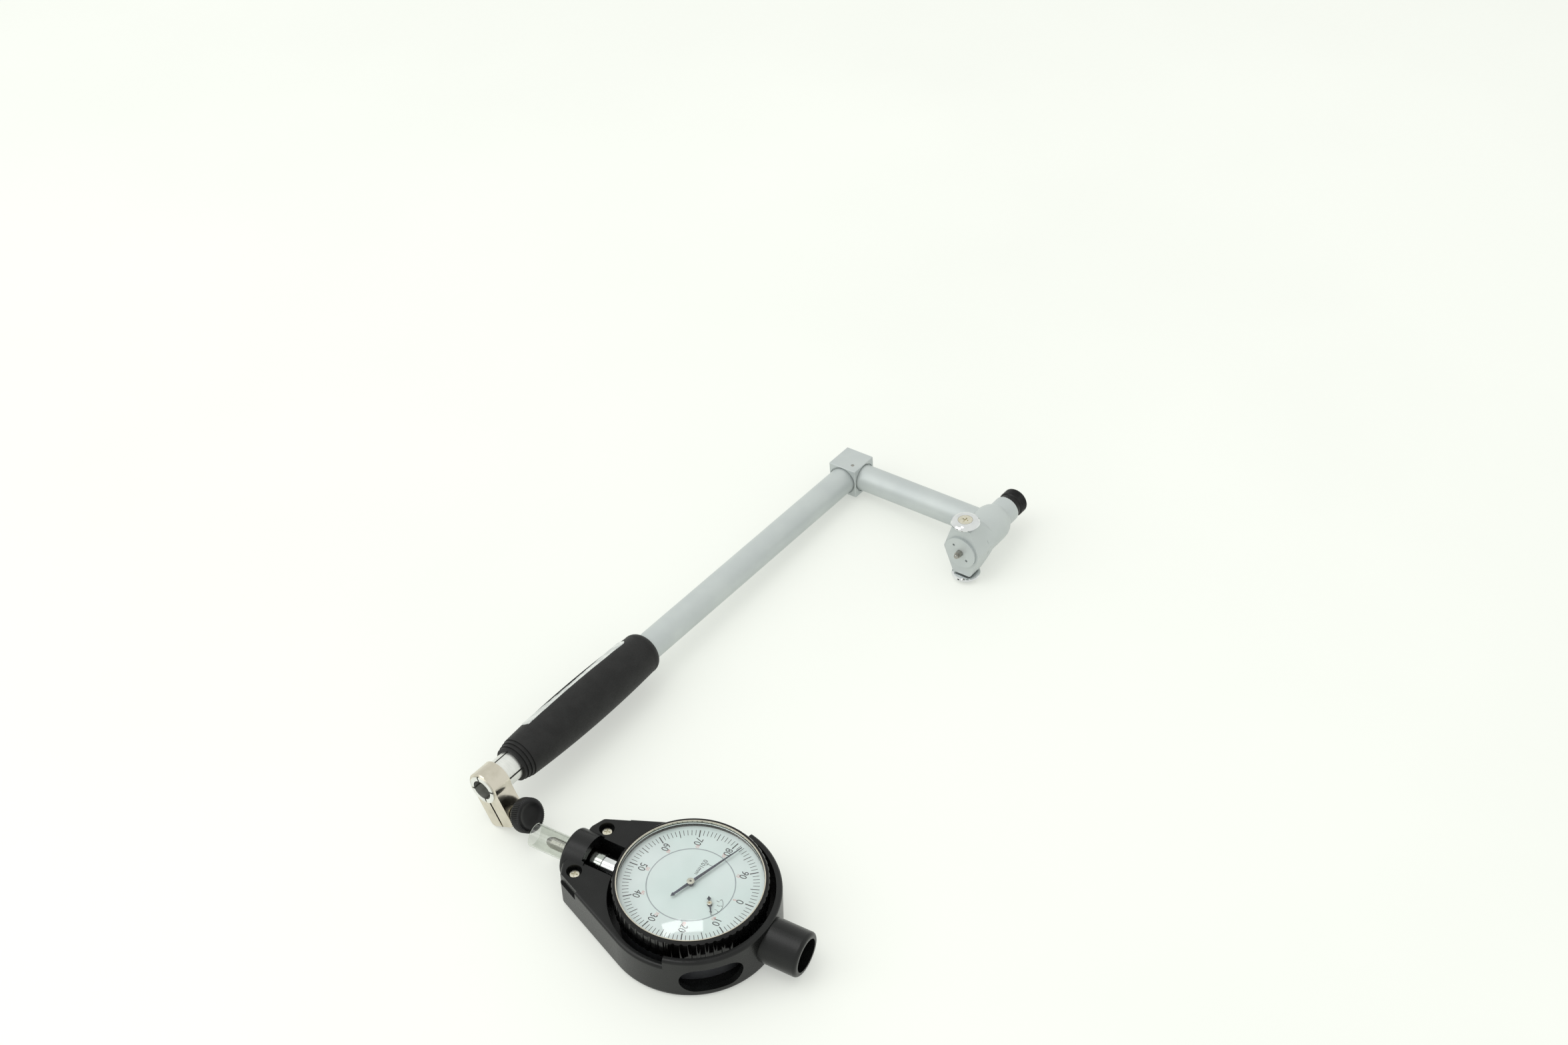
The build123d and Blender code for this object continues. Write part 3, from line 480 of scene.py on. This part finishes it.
# The middle carries the unit, a small plunger sign, and the arc of the counting hand.
centre_print = bmesh.new()
figure(centre_print, "0.01mm", 1.6, -0.6, 8.0, radians(-90), 0.95)
SIGN_Y = 10.2
for x0, x1, width in ((-0.4, 2.6, 0.16), (2.6, 3.5, 0.45), (0.6, 0.75, 1.3)):
    bar(centre_print, Matrix.Translation(((x0 + x1) / 2, SIGN_Y, INK)), x1 - x0, width)
COUNTER, COUNTER_ARC, COUNT_R = (10.0, -4.3), 4.6, 3.1
FIRST, APART, DASH = -54, 36, 6        # degrees: the nought, one count, one dash of the arc
TICK, DASH_SIZE = (0.9, 0.2), (0.16, 0.52)
for count in range(4):
    direction = radians(FIRST + APART * count)
    x, y = COUNTER[0] + COUNT_R * cos(direction), COUNTER[1] + COUNT_R * sin(direction)
    figure(centre_print, str(count), 1.0, x, y, radians(-90), 0.9)
for step in range(FIRST, FIRST + 3 * APART + 1, DASH):
    at_count = (step - FIRST) % APART == 0
    place = (Matrix.Translation((*COUNTER, INK)) @ Matrix.Rotation(radians(step), 4, "Z")
             @ Matrix.Translation((COUNTER_ARC - (0.35 if at_count else 0.05), 0, 0)))
    bar(centre_print, place, *(TICK if at_count else DASH_SIZE))
finish_piece("dial_centre_print", centre_print, INDICATOR, black_ink, "indicator")

# %% [markdown]
# Where the turning ring meets the fixed middle of the dial there is only a fine grey line. It
# is a flat washer turned on the lathe, laid over the joint.

# %% Joint line of the dial
LINE_IN, LINE_OUT, LINE_LOW, LINE_HIGH = 15.2, 15.6, INK - 0.005, INK + 0.008
grey_ink = surface("grey dial line", ("#8C9699", "#98A1A4"), 3, (0.45, 0.55), 0.4, 0.001, IOR=1.5)
joint_line = [(LINE_IN, LINE_LOW), (LINE_OUT, LINE_LOW), (LINE_OUT, LINE_HIGH),
              (LINE_IN, LINE_HIGH), (LINE_IN, LINE_LOW)]
finish_piece("dial_joint_line", spun(joint_line, 128), INDICATOR, grey_ink, "indicator")

# %% [markdown]
# The pointer's hub carries a pale turned cap with a dark hole in its middle, where the arbor
# ends. It is a small lathe piece that sits on the pointer and turns with it. The counting hand
# has the same cap, smaller and flatter.

# %% Pointer caps
CAP_SINK, SMALL_SINK = 0.3, 0.12           # how deep each cap sits in its hub
SMALLER, FLATTER = 0.66, 0.5
hub_metal = surface("pale hub lacquer", ("#B9B4A6", "#C6C1B4"), 1, (0.25, 0.35), 0.3, 0.002,
                    Metallic=0.6)
cap = [(0.42, 0.0), (1.32, 0.0), (1.38, 0.08), (1.38, 0.22), (1.25, 0.32), (0.55, 0.36),
       (0.42, 0.28), (0.42, 0.0)]
hub_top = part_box("main_pointer")[1].z / MM - CAP_SINK
finish_piece("pointer_cap", spun([(r, z + hub_top) for r, z in cap], 40), INDICATOR, hub_metal,
             "centre_arbor")
hand_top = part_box("counter_hand")[1].z / MM - SMALL_SINK
small_cap = [(r * SMALLER, z * FLATTER + hand_top) for r, z in cap]
finish_piece("counter_cap", spun(small_cap, 32), INDICATOR @ Matrix.Translation((*COUNTER, 0)),
             hub_metal, "counter_arbor")

# %% [markdown]
# The table is a round plate of frosted white acrylic, much larger than the view. It scatters the
# light of the tent and also glows faintly with the lamps under it, so part of its brightness
# is emission; that is what keeps the shadows pale.

# %% Table
TABLE_R, TABLE_DROP, GLOW = 3.0, 0.00005, 0.38     # metres, metres, emission strength
table_shape = bmesh.new()
bmesh.ops.create_circle(table_shape, cap_ends=True, segments=96, radius=TABLE_R)
table_mesh = bpy.data.meshes.new("table")
table_shape.to_mesh(table_mesh)
table_shape.free()
table = bpy.data.objects.new("table", table_mesh)
scene.collection.objects.link(table)
table.location.z = -TABLE_DROP
frosted_acrylic = surface("frosted white acrylic", ("#BDBFB9", "#C1C3BD"), 300, (0.5, 0.6), 3,
                          0.002, IOR=1.49, Emission_Color=(0.98, 1.0, 0.96, 1),
                          Emission_Strength=GLOW)
table_mesh.materials.append(frosted_acrylic)

# %% Count of the new pieces
print("made", len(made), "pieces")
